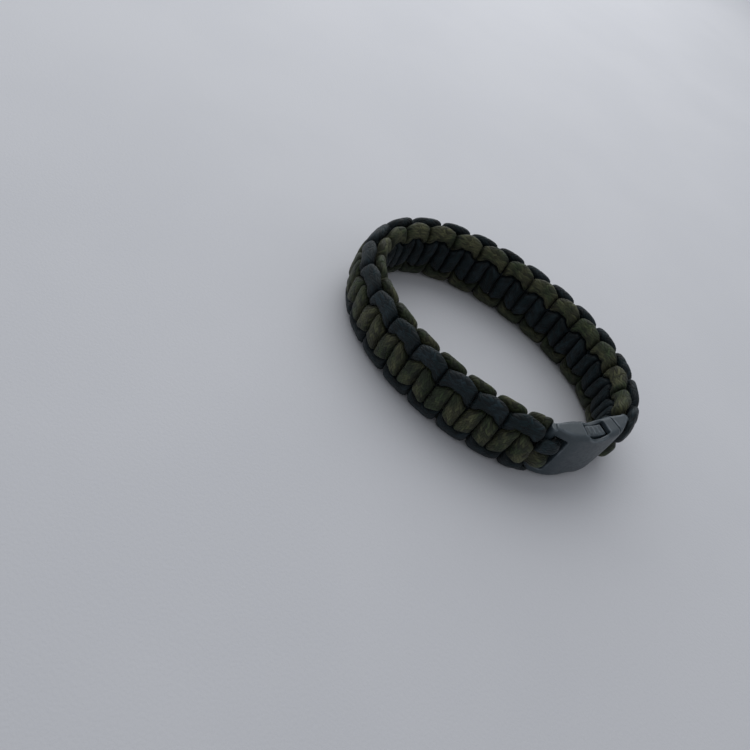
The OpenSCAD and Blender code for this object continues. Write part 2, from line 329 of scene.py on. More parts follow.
class Bench:
    """Places the nodes of one shader tree and wires them."""

    ROW_LENGTH = 12
    STEP_RIGHT = 180
    STEP_DOWN = -220

    def __init__(self, tree: Tree, material: bpy.types.Material | None = None) -> None:
        """Starts on an empty tree.

        Args:
            tree: The tree to work in.
            material: The material that owns it, or None for a group.
        """
        self.tree = tree
        self.material = material
        self._placed = 0

    @classmethod
    def for_material(cls, name: str) -> "Bench":
        """Makes a material with an empty tree.

        Args:
            name: The material's name.

        Returns:
            The bench of its tree.
        """
        material = bpy.data.materials.new(name)
        material.use_nodes = True
        material.node_tree.nodes.clear()
        return cls(material.node_tree, material)

    def add(self, kind: str, inputs: dict[str | int, object] | None = None, **settings: object) -> Node:
        """Adds one node.

        Args:
            kind: The node's type.
            inputs: What its inputs are given, by their name or number.
            settings: Its plain settings.

        Returns:
            The node.
        """
        node = self.tree.nodes.new(kind)
        row, column = divmod(self._placed, self.ROW_LENGTH)
        node.location = (self.STEP_RIGHT * column, self.STEP_DOWN * row)
        self._placed += 1
        for name, value in settings.items():
            setattr(node, name, value)
        for name, value in (inputs or {}).items():
            self.feed(node.inputs[name], value)
        return node

    def feed(self, socket: Socket, value: object) -> None:
        """Links a socket into an input, or sets the input's own value.

        Args:
            socket: The input.
            value: A socket or a plain value, where a colour may leave out its alpha.
        """
        if isinstance(value, Socket):
            self.tree.links.new(value, socket)
        elif isinstance(value, tuple) and len(socket.default_value) > len(value):
            socket.default_value = (*value, 1.0)
        else:
            socket.default_value = value

    def group(self, group: Tree, **inputs: Number) -> Node:
        """Places a shared group with its own input values."""
        return self.add("ShaderNodeGroup", inputs, node_tree=group)

    def math(self, operation: str, *values: Number) -> Socket:
        """One Math node's result."""
        return self.add("ShaderNodeMath", dict(enumerate(values)), operation=operation).outputs[0]

    def map_range(self, value: Number, given: Span, wanted: Span, curve: str = "LINEAR") -> Socket:
        """A value mapped from one range to another, and held inside it."""
        parts = dict(enumerate((value, *given, *wanted)))
        return self.add("ShaderNodeMapRange", parts, interpolation_type=curve).outputs[0]

    def ramp(self, value: Number, low: float, high: float) -> Socket:
        """A smooth step from 0 at low to 1 at high."""
        return self.map_range(value, (low, high), (0.0, 1.0), "SMOOTHSTEP")

    def mix_value(self, factor: Number, a: Number, b: Number) -> Socket:
        """A value between a and b."""
        return self.add("ShaderNodeMix", {0: factor, 2: a, 3: b}, data_type="FLOAT").outputs[0]

    def mix_colour(self, factor: Number, a: Triple | Socket, b: Triple | Socket) -> Socket:
        """A colour between a and b."""
        return self.add("ShaderNodeMix", {0: factor, 6: a, 7: b}, data_type="RGBA").outputs[2]

    def scale_colour(self, colour: Socket, factor: Number) -> Socket:
        """A colour times a value."""
        parts = {0: colour, "Scale": factor}
        return self.add("ShaderNodeVectorMath", parts, operation="SCALE").outputs[0]

    def attribute(self, name: str) -> Socket:
        """A value stored on the mesh's points."""
        return self.add("ShaderNodeAttribute", attribute_name=name).outputs["Fac"]

    def noise(self, scale: Number, detail: float, roughness: float) -> Socket:
        """Noise over the piece's own coordinates."""
        parts = {"Vector": self.add("ShaderNodeTexCoord").outputs["Object"], "Scale": scale}
        parts |= {"Detail": detail, "Roughness": roughness}
        return self.add("ShaderNodeTexNoise", parts).outputs["Fac"]

    def bump(self, height: Socket, depth: float) -> Socket:
        """A normal bumped by a height from 0 to 1 that stands for that many metres."""
        return self.add("ShaderNodeBump", {"Height": height, "Distance": depth}).outputs[0]

    def principled(self, inputs: dict[str, object]) -> None:
        """The material's surface shader, wired to its output."""
        shader = self.add("ShaderNodeBsdfPrincipled", inputs)
        self.add("ShaderNodeOutputMaterial", {"Surface": shader.outputs[0]})


@dataclass(frozen=True)
class SheathFinish:
    """Colour and braid of one cord's nylon sheath."""

    name: str
    slot: str
    colour: Triple
    second: Triple
    sheen: float
    roughness: float
    roughness_play: float = 0.06
    carriers: float = 16.0
    lay_mm: float = 1.3
    braid_depth_mm: float = 0.13
    yarn_least: float = 0.42
    yarn_spread: float = 1.2
    # The next two paint shade into the braid's valleys: the height below which the colour darkens, and
    # how dark it gets there.
    valley_height: float = 0.75
    valley_painted_shade: float = 0.36
    # How dark the painted shade gets where the cords press on each other.
    pressed_painted_shade: float = 0.6
    melted_shade: float = 0.35
    melted_roughness: float = 0.3

    def material(self) -> bpy.types.Material:
        """Builds the sheath's material.

        Returns:
            A material that reads the cord's own map for its braid, and its melt and press values. It
            paints shade into the braid's valleys and into the creases where the cords press on each
            other.
        """
        bench = Bench.for_material(self.name)
        where = bench.add("ShaderNodeUVMap", uv_map=SHEATH_MAP).outputs[0]
        around, along, _ = bench.add("ShaderNodeSeparateXYZ", {0: where}).outputs
        braid = bench.group(sheath_braid_group(), Around=around, Along=along,
                            Carriers=self.carriers, Lay=self.lay_mm)
        pick, height = braid.outputs["Pick"], braid.outputs["Height"]
        melt = bench.attribute("melt")
        cloud = bench.noise(scale=170.0, detail=3.0, roughness=0.6)
        tone = bench.mix_colour(bench.ramp(cloud, low=0.38, high=0.66), self.colour, self.second)
        shade = bench.math("MULTIPLY_ADD", pick, self.yarn_spread, self.yarn_least)
        # Painted shade: the colour darkens in the braid's valleys between the yarns.
        valley = bench.map_range(height, (0.0, self.valley_height), (self.valley_painted_shade, 1.0))
        shade = bench.math("MULTIPLY", shade, valley)
        # Painted shade: the colour darkens where the cords press on each other and on the creases round
        # them.
        pressed = bench.map_range(bench.attribute("press"), (0.0, 1.0), (1.0, self.pressed_painted_shade))
        shade = bench.math("MULTIPLY", shade, pressed)
        melted = tuple(self.melted_shade * c for c in self.colour)
        skin = bench.mix_colour(melt, bench.scale_colour(tone, shade), melted)
        rough = bench.map_range(pick, (0.0, 1.0), (self.roughness - self.roughness_play,
                                                   self.roughness + self.roughness_play))
        rough = bench.mix_value(melt, rough, self.melted_roughness)
        relief = bench.math("MULTIPLY", height, bench.math("SUBTRACT", 1.0, melt))
        bench.principled({
            "Base Color": skin, "Roughness": rough,
            "Normal": bench.bump(relief, self.braid_depth_mm * MM),
            "Sheen Weight": self.sheen, "Sheen Roughness": 0.45, "IOR": 1.5,
            "Specular IOR Level": 0.2,
        })
        return bench.material


@dataclass(frozen=True)
class AcetalFinish:
    """Satin moulded plastic with a fine grain, rubbed lighter along its edges."""

    name: str
    slot: str
    colour: Triple
    rubbed: Triple
    roughness: float
    grain_depth_mm: float = 0.012
    mottle: Span = (0.86, 1.12)
    rub: float = 0.7
    polish: float = 0.08
    scuff_least: float = -0.05
    scuff_spread: float = 0.16

    def material(self) -> bpy.types.Material:
        """Builds the plastic's material.

        Returns:
            A material that reads the piece's edge value for its wear.
        """
        bench = Bench.for_material(self.name)
        grain = bench.group(moulded_grain_group(), Scale=2600.0)
        edge = bench.ramp(bench.attribute("edge"), low=0.25, high=0.8)
        patches = bench.noise(scale=420.0, detail=4.0, roughness=0.65)
        wear = bench.math("MULTIPLY", edge, bench.ramp(patches, low=0.35, high=0.6))
        dark, light = (tuple(part * c for c in self.colour) for part in self.mottle)
        tone = bench.mix_colour(grain.outputs["Mottle"], dark, light)
        worn = bench.mix_colour(bench.math("MULTIPLY", wear, self.rub), tone, self.rubbed)
        least = self.roughness + self.scuff_least
        rough = bench.math("MULTIPLY_ADD", grain.outputs["Scuff"], self.scuff_spread, least)
        rough = bench.math("MULTIPLY_ADD", wear, -self.polish, rough)
        bench.principled({
            "Base Color": worn, "Roughness": rough,
            "Normal": bench.bump(grain.outputs["Height"], self.grain_depth_mm * MM),
            "IOR": 1.48, "Specular IOR Level": 0.5,
        })
        return bench.material


@dataclass(frozen=True)
class TabletopFinish:
    """The pale surface that the bracelet lies on."""

    name: str = "pale_surface"
    colour: Triple = (0.60, 0.605, 0.628)
    shade: Triple = (0.582, 0.588, 0.612)
    tooth_depth_mm: float = 0.05

    def material(self) -> bpy.types.Material:
        """Builds the surface's material.

        Returns:
            A matt material with faint clouds and a fine tooth.
        """
        bench = Bench.for_material(self.name)
        clouds = bench.ramp(bench.noise(scale=14.0, detail=3.0, roughness=0.5), low=0.35, high=0.65)
        tooth = bench.noise(scale=1400.0, detail=2.0, roughness=0.5)
        bench.principled({
            "Base Color": bench.mix_colour(clouds, self.shade, self.colour), "Roughness": 0.75,
            "Normal": bench.bump(tooth, self.tooth_depth_mm * MM), "Specular IOR Level": 0.3,
        })
        return bench.material


def open_group(name: str, inputs: tuple[str, ...], outputs: tuple[str, ...]) -> tuple[Bench, Node, Node]:
    """Starts a shared shader group.

    Args:
        name: The group's name.
        inputs: Names of its float inputs.
        outputs: Names of its float outputs.

    Returns:
        Its bench, input node and output node.
    """
    tree = bpy.data.node_groups.new(name, "ShaderNodeTree")
    for way, sockets in (("INPUT", inputs), ("OUTPUT", outputs)):
        for socket in sockets:
            tree.interface.new_socket(socket, in_out=way, socket_type="NodeSocketFloat")
    bench = Bench(tree)
    return bench, bench.add("NodeGroupInput"), bench.add("NodeGroupOutput")


def sheath_braid_group() -> Tree:
    """The braid of a cord's sheath: yarns that pass over two and under two.

    Returns:
        The shared group. It takes the share round the cord, the millimetres along it, the yarns
        each way and the length of one crossing, and gives the height and a random value a pick.
    """
    found = bpy.data.node_groups.get("sheath_braid")
    if found:
        return found
    bench, given, made = open_group("sheath_braid", ("Around", "Along", "Carriers", "Lay"),
                                    ("Height", "Pick"))
    turns = bench.math("MULTIPLY", given.outputs["Around"], given.outputs["Carriers"])
    lays = bench.math("DIVIDE", given.outputs["Along"], given.outputs["Lay"])
    p = bench.math("ADD", turns, lays)
    q = bench.math("SUBTRACT", turns, lays)
    cell_p, cell_q = bench.math("FLOOR", p), bench.math("FLOOR", q)
    in_p, in_q = bench.math("FRACT", p), bench.math("FRACT", q)
    # Each cell of p and q is a crossing. In every four rows of cells, right-hand yarns lie on top in
    # the first two, and left-hand ones in the other two.
    over, flatness = 2.0, 3.0
    repeat = 2 * over
    row = bench.math("ADD", cell_p, cell_q)
    phase = bench.math("FLOORED_MODULO", row, repeat)
    right = bench.math("LESS_THAN", phase, over - 0.5)
    # Where the point lies along and across the top yarn's float, from -1 to 1.
    along_right = bench.math("ADD", phase, in_q)
    along_left = bench.math("ADD", bench.math("SUBTRACT", phase, over), in_p)
    along = bench.math("SUBTRACT", bench.mix_value(right, along_left, along_right), over / 2)
    side = bench.math("MULTIPLY_ADD", bench.mix_value(right, in_q, in_p), 2.0, -1.0)
    round_yarn = bench.math("SUBTRACT", 1.0, bench.math("MULTIPLY", side, side))
    dip = bench.math("SUBTRACT", 1.0, bench.math("POWER", bench.math("ABSOLUTE", along), flatness))
    height = bench.math("MULTIPLY", bench.math("SQRT", round_yarn), bench.math("SQRT", dip))
    bench.feed(made.inputs["Height"], height)
    pick = bench.add("ShaderNodeCombineXYZ", {
        0: bench.mix_value(right, cell_q, cell_p),
        1: bench.math("FLOOR", bench.math("DIVIDE", row, repeat)),
        2: right,
    })
    chance = bench.add("ShaderNodeTexWhiteNoise", {"Vector": pick.outputs[0]}, noise_dimensions="3D")
    bench.feed(made.inputs["Pick"], chance.outputs["Value"])
    return bench.tree


def moulded_grain_group() -> Tree:
    """The surface of a moulded part: fine grain, slow mottling and scuffs.

    Returns:
        The shared group. It takes the grain's scale and gives its height, a mottle and a scuff.
    """
    found = bpy.data.node_groups.get("moulded_grain")
    if found:
        return found
    bench, given, made = open_group("moulded_grain", ("Scale",), ("Height", "Mottle", "Scuff"))
    fine = bench.noise(given.outputs["Scale"], detail=2.0, roughness=0.6)
    slow = bench.noise(scale=260.0, detail=4.0, roughness=0.6)
    scuffs = bench.ramp(bench.noise(scale=900.0, detail=5.0, roughness=0.7), low=0.35, high=0.7)
    for name, value in (("Height", fine), ("Mottle", slow), ("Scuff", scuffs)):
        bench.feed(made.inputs[name], value)
    return bench.tree


def mesh_of(bm: Form, name: str) -> Piece:
    """Turns a bmesh into a linked object and frees it.

    Args:
        bm: The bmesh.
        name: The object's name.

    Returns:
        The object.
    """
    mesh = bpy.data.meshes.new(name)
    bm.to_mesh(mesh)
    bm.free()
    piece = bpy.data.objects.new(name, mesh)
    bpy.context.scene.collection.objects.link(piece)
    return piece


def apply_modifiers(piece: Piece) -> None:
    """Replaces a piece's mesh by what its modifiers make of it.

    Args:
        piece: The piece.
    """
    graph = bpy.context.evaluated_depsgraph_get()
    mesh = bpy.data.meshes.new_from_object(piece.evaluated_get(graph))
    old = piece.data
    piece.modifiers.clear()
    piece.data = mesh
    bpy.data.meshes.remove(old)


def vertex_array(mesh: bpy.types.Mesh) -> Array:
    """Reads a mesh's points.

    Args:
        mesh: The mesh.

    Returns:
        One row a point.
    """
    flat = np.empty(3 * len(mesh.vertices))
    mesh.vertices.foreach_get("co", flat)
    return flat.reshape(-1, 3)


def dress(piece: Piece, node: str, finish: SheathFinish | AcetalFinish) -> None:
    """Gives a piece its finish, and its place in the model.

    Args:
        piece: The piece.
        node: The model's node that it stands for.
        finish: Its finish.
    """
    piece.data.materials.clear()
    piece.data.materials.append(finish.material())
    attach(piece, "root")
    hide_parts(node)


@dataclass
class WovenCord:
    """One of the two cords: a core strand, its turns round both bars, and the working strand.

    The tables' rows have the columns of Column, as shares of the cord's diameter and degrees of
    turn. Only KNOT's first column is a share of a half knot's length.
    """

    name: str
    node: str
    facing: Facing
    finish: SheathFinish
    path: BandPath
    seed: int
    sides: int = 24
    ring_gap: float = 0.36
    core_ring_gap: float = 1.2
    wobble: float = 0.02
    lump: float = 0.012
    melt_len: float = 2.2
    fullness: float = 1.0
    flat: Array = field(init=False)
    rings: Array = field(init=False)
    along: Array = field(init=False)
    # pressed marks where the cords touch and crease, for the sheath's painted shade.
    pressed: Array = field(init=False)

    KNOT = np.array([
        [0, 0, -0.743, 0, 0.457, 0.336],
        [-0.135, 0.62, -0.735, 10, 0.41, 0.36],
        [-0.25, 1.02, -0.42, 14, 0.277, 0.385],
        [-0.25, 1.46, 0.43, 19, 0.28, 0.45],
        [0.03, 1.74, 0.56, 64, 0.42, 0.45],
        [0.5, 1.72, 0.5, 90, 0.5, 0.52],
    ])
    SOCKET_JOIN = (0.08, 0.53, -0.3, -115, 0.31, 0.46)
    PLUG_JOIN = (-0.08, 0.53, -0.3, -65, 0.31, 0.46)
    CORE = (0, 0.51, 0, -90, 0.375, 0.49)
    FIRST_STITCH = (-0.3, 1.66, 0.55, 90, 0.4, 0.4)
    MELTED_TIP = ((0.28, 1.86, 0.4, -90, 0.42, 0.36), (0.5, 1.62, 0.3, -90, 0.25, 0.22))
    PLUG_TURN = ((-106, 0.56), (-70, 0.63), (-30, 0.74), (10, 0.86), (50, 1), (90, 1.2))
    SOCKET_TURN = ((96, 0.84), (60, 0.82), (20, 0.78), (-20, 0.73), (-60, 0.66), (-106, 0.57))
    TUCKED_ALONG = 0.13
    TUCKED_ACROSS = 0.85
    CORE_INSET = 0.45
    CORE_STEP = 1.5
    SWAY = (1, 1, 1, 0, 0.8, 0.8)
    LUMP_WAVES = (9, 14, 23, 37)
    LUMP_TURNS = (1, 4)
    LUMP_PHASE = 6.3

    def shape(self) -> None:
        """Lays out the cord's rings before it swells."""
        rows, is_core = self._rows()
        rows[:, Column.TURN] = np.degrees(np.unwrap(np.radians(rows[:, Column.TURN])))
        fine = self._refined(rows, is_core)
        centre = fine[:, :3]
        ahead = np.gradient(centre, axis=0)
        ahead /= np.linalg.norm(ahead, axis=1)[:, None]
        turn = np.radians(fine[:, Column.TURN])
        flat = np.stack([np.cos(turn), np.zeros_like(turn), np.sin(turn)], axis=1)
        u = flat - ahead * (flat * ahead).sum(axis=1)[:, None]
        u /= np.linalg.norm(u, axis=1)[:, None]
        v = np.cross(ahead, u)
        a = self._angles()
        lumps = 1 + self.lump * self._lumps(len(fine))
        wide = (fine[:, Column.HALF_U, None] * np.cos(a) * lumps)[..., None]
        thick = (fine[:, Column.HALF_V, None] * np.sin(a) * lumps)[..., None]
        way = int(self.facing)
        self.flat = (centre[:, None] + u[:, None] * wide + v[:, None] * thick) * (1, way, way)
        self.bend()
        steps = np.linalg.norm(np.diff(self.rings.mean(axis=1), axis=0), axis=1)
        self.along = np.concatenate([[0.0], np.cumsum(steps)])
        self.pressed = np.zeros(self.rings.shape[:2])

    def bend(self) -> None:
        """Bends the flat rings to the loop, and keeps them above the surface they lie on."""
        self.rings = self.path.on_band(self.flat)
        self.rings[..., 2] = np.maximum(self.rings[..., 2], 0.0)

    def grow(self, ratio: Array) -> None:
        """Scales every spoke of the flat rings, up to the section of a cord that nothing presses.

        Args:
            ratio: One factor for each point.
        """
        centre = self.flat.mean(axis=1, keepdims=True)
        spokes = (self.flat - centre) * ratio[..., None]
        area = np.linalg.norm(np.cross(spokes, np.roll(spokes, -1, axis=1)), axis=2).sum(axis=1) / 2
        full = self.fullness * math.pi / 4 * self.path.sizes.cord_d ** 2
        spokes *= np.minimum(1, np.sqrt(full / area))[:, None, None]
        self.flat = centre + spokes
        self.bend()

    def _rows(self) -> tuple[Array, Array]:
        """Lists the whole strand's rows.

        Returns:
            The rows from its tucked end to its melted tip, and which of them lie in the core.
        """
        z = self.path.sizes
        d, end = z.cord_d, z.weave_len
        rows = [[end + self.TUCKED_ALONG * d, self.TUCKED_ACROSS * d, z.turn_r, 90,
                 z.turn_half_u, z.turn_half_v]]
        rows.extend(self._turn_rows(end, 1, self.SOCKET_TURN))
        rows.append(self._row_at(end, self.SOCKET_JOIN))
        core_start = len(rows)
        inset = self.CORE_INSET * d
        count = math.floor((end - d) / (self.CORE_STEP * d))
        rows.extend(self._row_at(inset + (end - 2 * inset) * i / count, self.CORE)
                    for i in range(count, -1, -1))
        core_end = len(rows)
        rows.append(self._row_at(0, self.PLUG_JOIN))
        rows.extend(self._turn_rows(0, -1, self.PLUG_TURN))
        rows.append(self._row_at(0, self.FIRST_STITCH))
        rows.extend(self._working_rows())
        rows.extend(self._row_at(end, r, -1) for r in self.MELTED_TIP)
        is_core = np.zeros(len(rows), bool)
        is_core[core_start:core_end] = True
        return np.array(rows, float), is_core

    def _row_at(self, w: float, r: tuple[float, ...], side: int = 1) -> list[float]:
        """One table row at a place along the weave, in millimetres."""
        d = self.path.sizes.cord_d
        return [w + d * r[0], side * d * r[1], d * r[2], r[3], d * r[4], d * r[5]]

    def _turn_rows(self, w: float, way: int, turns: tuple[Span, ...]) -> list[list[float]]:
        """The rows of a turn round one bar.

        Args:
            w: The end of the weave that the bar is next to.
            way: 1 for the socket's bar, -1 for the plug's.
            turns: Angles round the bar in degrees, and how far across each lies.

        Returns:
            One row an angle, in millimetres.
        """
        z = self.path.sizes
        rows = []
        for angle, across in turns:
            a = math.radians(angle)
            along = w + way * z.bar_inset + way * z.turn_r * math.cos(a)
            rows.append([along, across * z.cord_d, z.turn_r * math.sin(a),
                         angle if way > 0 else 180 - angle, z.turn_half_u, z.turn_half_v])
        return rows

    def _working_rows(self) -> list[Array]:
        """Lists the rows of every half knot, each a little different, as hands tie them.

        Returns:
            The rows, in millimetres.
        """
        z = self.path.sizes
        chance = np.random.default_rng(self.seed)
        scale = np.array([z.pitch, z.cord_d, z.cord_d, 1, z.cord_d, z.cord_d])
        last = len(self.KNOT) - 1
        rows = []
        for i in range(-1, z.half_knots):
            side = -1 if i % 2 == 0 else 1
            first = last if i < 0 else 0
            final = last if i == z.half_knots - 1 else 2 * last - 1
            sway = self.wobble * chance.normal(size=(2 * last, len(Column))) * self.SWAY
            for k in range(first, final + 1):
                r = self.KNOT[min(k, 2 * last - k)].copy()
                if k > last:
                    r[Column.ALONG] = 1 - r[Column.ALONG]
                    r[Column.TURN] = 180 - r[Column.TURN]
                along, across, out, turn, half_u, half_v = (r + sway[k]) * scale
                rows.append(np.array([z.pitch * (i + 0.5) + along, side * across, out,
                                      -180 * i - turn, half_u, half_v]))
        return rows

    def _refined(self, rows: Array, is_core: Array) -> Array:
        """Smooth rows between the given ones, at an even spacing.

        Args:
            rows: The strand's rows.
            is_core: Which rows lie in the hidden core, where rings may lie further apart.

        Returns:
            The finer rows.
        """
        gaps = np.linalg.norm(np.diff(rows[:, :3], axis=0), axis=1)
        slopes = np.diff(rows, axis=0) / gaps[:, None]
        before, after = gaps[:-1, None], gaps[1:, None]
        middle = (slopes[:-1] * after + slopes[1:] * before) / (before + after)
        tangents = np.vstack([slopes[:1], middle, slopes[-1:]])
        out = []
        for i, gap in enumerate(gaps):
            spacing = self.core_ring_gap if is_core[i] and is_core[i + 1] else self.ring_gap
            t = np.linspace(0, 1, max(2, math.ceil(gap / spacing)) + 1)[:-1, None]
            out.append((2 * t**3 - 3 * t**2 + 1) * rows[i] + (t**3 - 2 * t**2 + t) * gap * tangents[i]
                       + (3 * t**2 - 2 * t**3) * rows[i + 1] + (t**3 - t**2) * gap * tangents[i + 1])
        return np.vstack([*out, rows[-1:]])

    def _angles(self) -> Array:
        """Where a ring's points lie round the cord, in radians."""
        return 2 * np.pi * np.arange(self.sides) / self.sides

    def _lumps(self, count: int) -> Array:
        """Slow random swelling over the cord's skin.

        Args:
            count: How many rings the cord has.

        Returns:
            One value for every ring and side.
        """
        chance = np.random.default_rng(self.seed + 1)
        ring = np.arange(count)[:, None]
        total = np.zeros((count, self.sides))
        for wave in self.LUMP_WAVES:
            turns = chance.integers(*self.LUMP_TURNS)
            phase = chance.uniform(0, self.LUMP_PHASE)
            total += np.sin(ring * 2 * np.pi / wave + turns * self._angles() + phase)
        return total / math.sqrt(len(self.LUMP_WAVES))

    def faces(self, start: int) -> list[tuple[int, ...]]:
        """Lists the tube's faces for a search tree.

        Args:
            start: Where the cord's points start in the tree.

        Returns:
            Each face as the numbers of its points.
        """
        m = self.sides
        return [
            (start + i * m + j, start + (i + 1) * m + j, start + (i + 1) * m + (j + 1) % m,
             start + i * m + (j + 1) % m)
            for i in range(len(self.rings) - 1) for j in range(m)
        ]

    def build(self) -> None:
        """Makes the cord's mesh from its rings, by rolling up a grid, and dresses it."""
        count, half = len(self.rings), 0.5
        bm = bmesh.new()
        bmesh.ops.create_grid(bm, x_segments=self.sides, y_segments=count - 1, size=half, calc_uvs=True)
        rings = np.concatenate([self.rings, self.rings[:, :1]], axis=1) * MM
        uv = bm.loops.layers.uv.verify()
        for face in bm.faces:
            for loop in face.loops:
                i = round((loop.vert.co.y + half) * (count - 1))
                loop[uv].uv = (loop.vert.co.x + half, self.along[i])
        melt = bm.verts.layers.float.new("melt")
        # press carries the painted shade of the cords' creases to the material.
        press = bm.verts.layers.float.new("press")
        melted = np.clip(1 - (self.along[-1] - self.along) / self.melt_len, 0, 1)
        for vert in bm.verts:
            i = round((vert.co.y + half) * (count - 1))
            j = round((vert.co.x + half) * self.sides)
            vert[melt] = melted[i]
            vert[press] = self.pressed[i, j % self.sides]
            vert.co = rings[i, j]
        bmesh.ops.remove_doubles(bm, verts=bm.verts, dist=SAME_PLACE)
        bmesh.ops.holes_fill(bm, edges=[edge for edge in bm.edges if edge.is_boundary], sides=0)
        bmesh.ops.recalc_face_normals(bm, faces=bm.faces)
        for face in bm.faces:
            face.smooth = True
        piece = mesh_of(bm, self.name)
        piece.data.uv_layers[0].name = SHEATH_MAP
        dress(piece, self.node, self.finish)
        log.info("%s: %d rings, %.0f mm long", self.name, count, self.along[-1])


@dataclass
class Weave:
    """Both cords together: they swell until they press on each other and on the buckle."""

    cords: list[WovenCord]
    section: BandSection
    rounds: int = 5
    skin: float = 0.012
    free_swell: float = 1.2
    reach: float = 2.0
    least: float = 0.7
    most: float = 1.3
    blur: int = 3
    last_blur: int = 1
    shoulder: int = 6
    crease: float = 0.21
    own_rings: int = 14
    own_skins: int = 4
    nudge: float = 0.002

    def swell(self, obstacles: list[Piece]) -> None:
        """Grows each cord into the gaps round it, and draws it back where cords would cross.

        Args:
            obstacles: Hard pieces that the cords press against.
        """
        for step in range(self.rounds):
            tree, starts = self._tree(obstacles)
            for cord, start in zip(self.cords, starts):
                self._measure(cord, tree, start, final=step == self.rounds - 1)

    def _tree(self, obstacles: list[Piece]) -> tuple[BVHTree, list[int]]:
        """Puts all skins in a search tree.

        Args:
            obstacles: The hard pieces.

        Returns:
            The tree, and the first face of each cord in it.
        """
        points, faces, starts = [], [], []
        for cord in self.cords:
            starts.append(len(faces))
            faces.extend(cord.faces(len(points)))
            points.extend(map(tuple, cord.rings.reshape(-1, 3)))
        for piece in obstacles:
            first = len(points)
            points.extend(map(tuple, vertex_array(piece.data) / MM))
            faces.extend(tuple(first + v for v in p.vertices) for p in piece.data.polygons)
        return BVHTree.FromPolygons(points, faces), starts

    def _measure(self, cord: WovenCord, tree: BVHTree, start: int, final: bool) -> None:
        """Changes one cord's rings by the room that each of their points has.

        Args:
            cord: The cord to change.
            tree: All skins.
            start: The cord's first face in the tree.
            final: Whether the cord may only be drawn back.
        """
        centre = cord.rings.mean(axis=1)
        spokes = cord.rings - centre[:, None]
        radius = np.linalg.norm(spokes, axis=2)
        aim = spokes / radius[..., None]
        room = np.full(radius.shape, np.inf)
        count = len(cord.rings) - 1
        for i, middle in enumerate(centre):
            for j in range(cord.sides):
                room[i, j] = self._room(tree, Vector(middle), Vector(aim[i, j]),
                                        self.reach * radius[i, j], (start, count, cord.sides, i))
        near = np.isfinite(room)
        wanted = ((radius + np.where(near, room, 0)) / 2 - self.skin) / radius
        ratio = np.where(near, np.clip(wanted, self.least, self.most), self.free_swell)
        flat_centre = cord.flat.mean(axis=1)
        limit = self.section.reach(flat_centre, cord.flat - flat_centre[:, None], self.most)
        ratio = np.minimum(ratio, np.maximum(limit, self.least))
        if not final:
            cord.grow(self._softened(ratio, self.blur))
            return
        cord.grow(self._softened(np.minimum(ratio, 1.0), self.last_blur))
        share = self._softened(near.astype(float), self.shoulder)
        rim = 4 * share * (1 - share)
        cord.grow(1 - self.crease * rim)
        # Painted shade: the sheath darkens on these points, where the cord touches another skin and on
        # the rim round it.
        cord.pressed = np.maximum(near, rim)

    @staticmethod
    def _softened(values: Array, passes: int) -> Array:
        """Averages each point's value with its neighbours round the cord and along it.

        Args:
            values: One value for every ring and side.
            passes: How often they are averaged.

        Returns:
            The softer values.
        """
        for _ in range(passes):
            around = (np.roll(values, 1, axis=1) + np.roll(values, -1, axis=1)) / 4 + values / 2
            padded = np.pad(around, ((1, 1), (0, 0)), mode="edge")
            values = (padded[:-2] + padded[2:]) / 4 + around / 2
        return values

    def _room(self, tree: BVHTree, origin: Vector, aim: Vector, reach: float,
              own: tuple[int, int, int, int]) -> float:
        """Distance from a ring's centre to the next skin that isn't the ring's own stretch.

        Args:
            tree: All skins.
            origin: The ring's centre.
            aim: Unit direction.
            reach: How far to look.
            own: The cord's first face, its bands of faces, faces a band, and the ring's number.

        Returns:
            The distance, or infinity where nothing is near.
        """
        first, bands, sides, ring = own
        gone = 0.0
        for _ in range(self.own_skins):
            hit = tree.ray_cast(origin + aim * gone, aim, reach - gone)
            if hit[0] is None:
                return math.inf
            gone += hit[3]
            band = (hit[2] - first) // sides
            if not (0 <= band < bands and abs(band - ring) <= self.own_rings):
                return gone
            gone += self.nudge
            if gone >= reach:
                return math.inf
        return math.inf


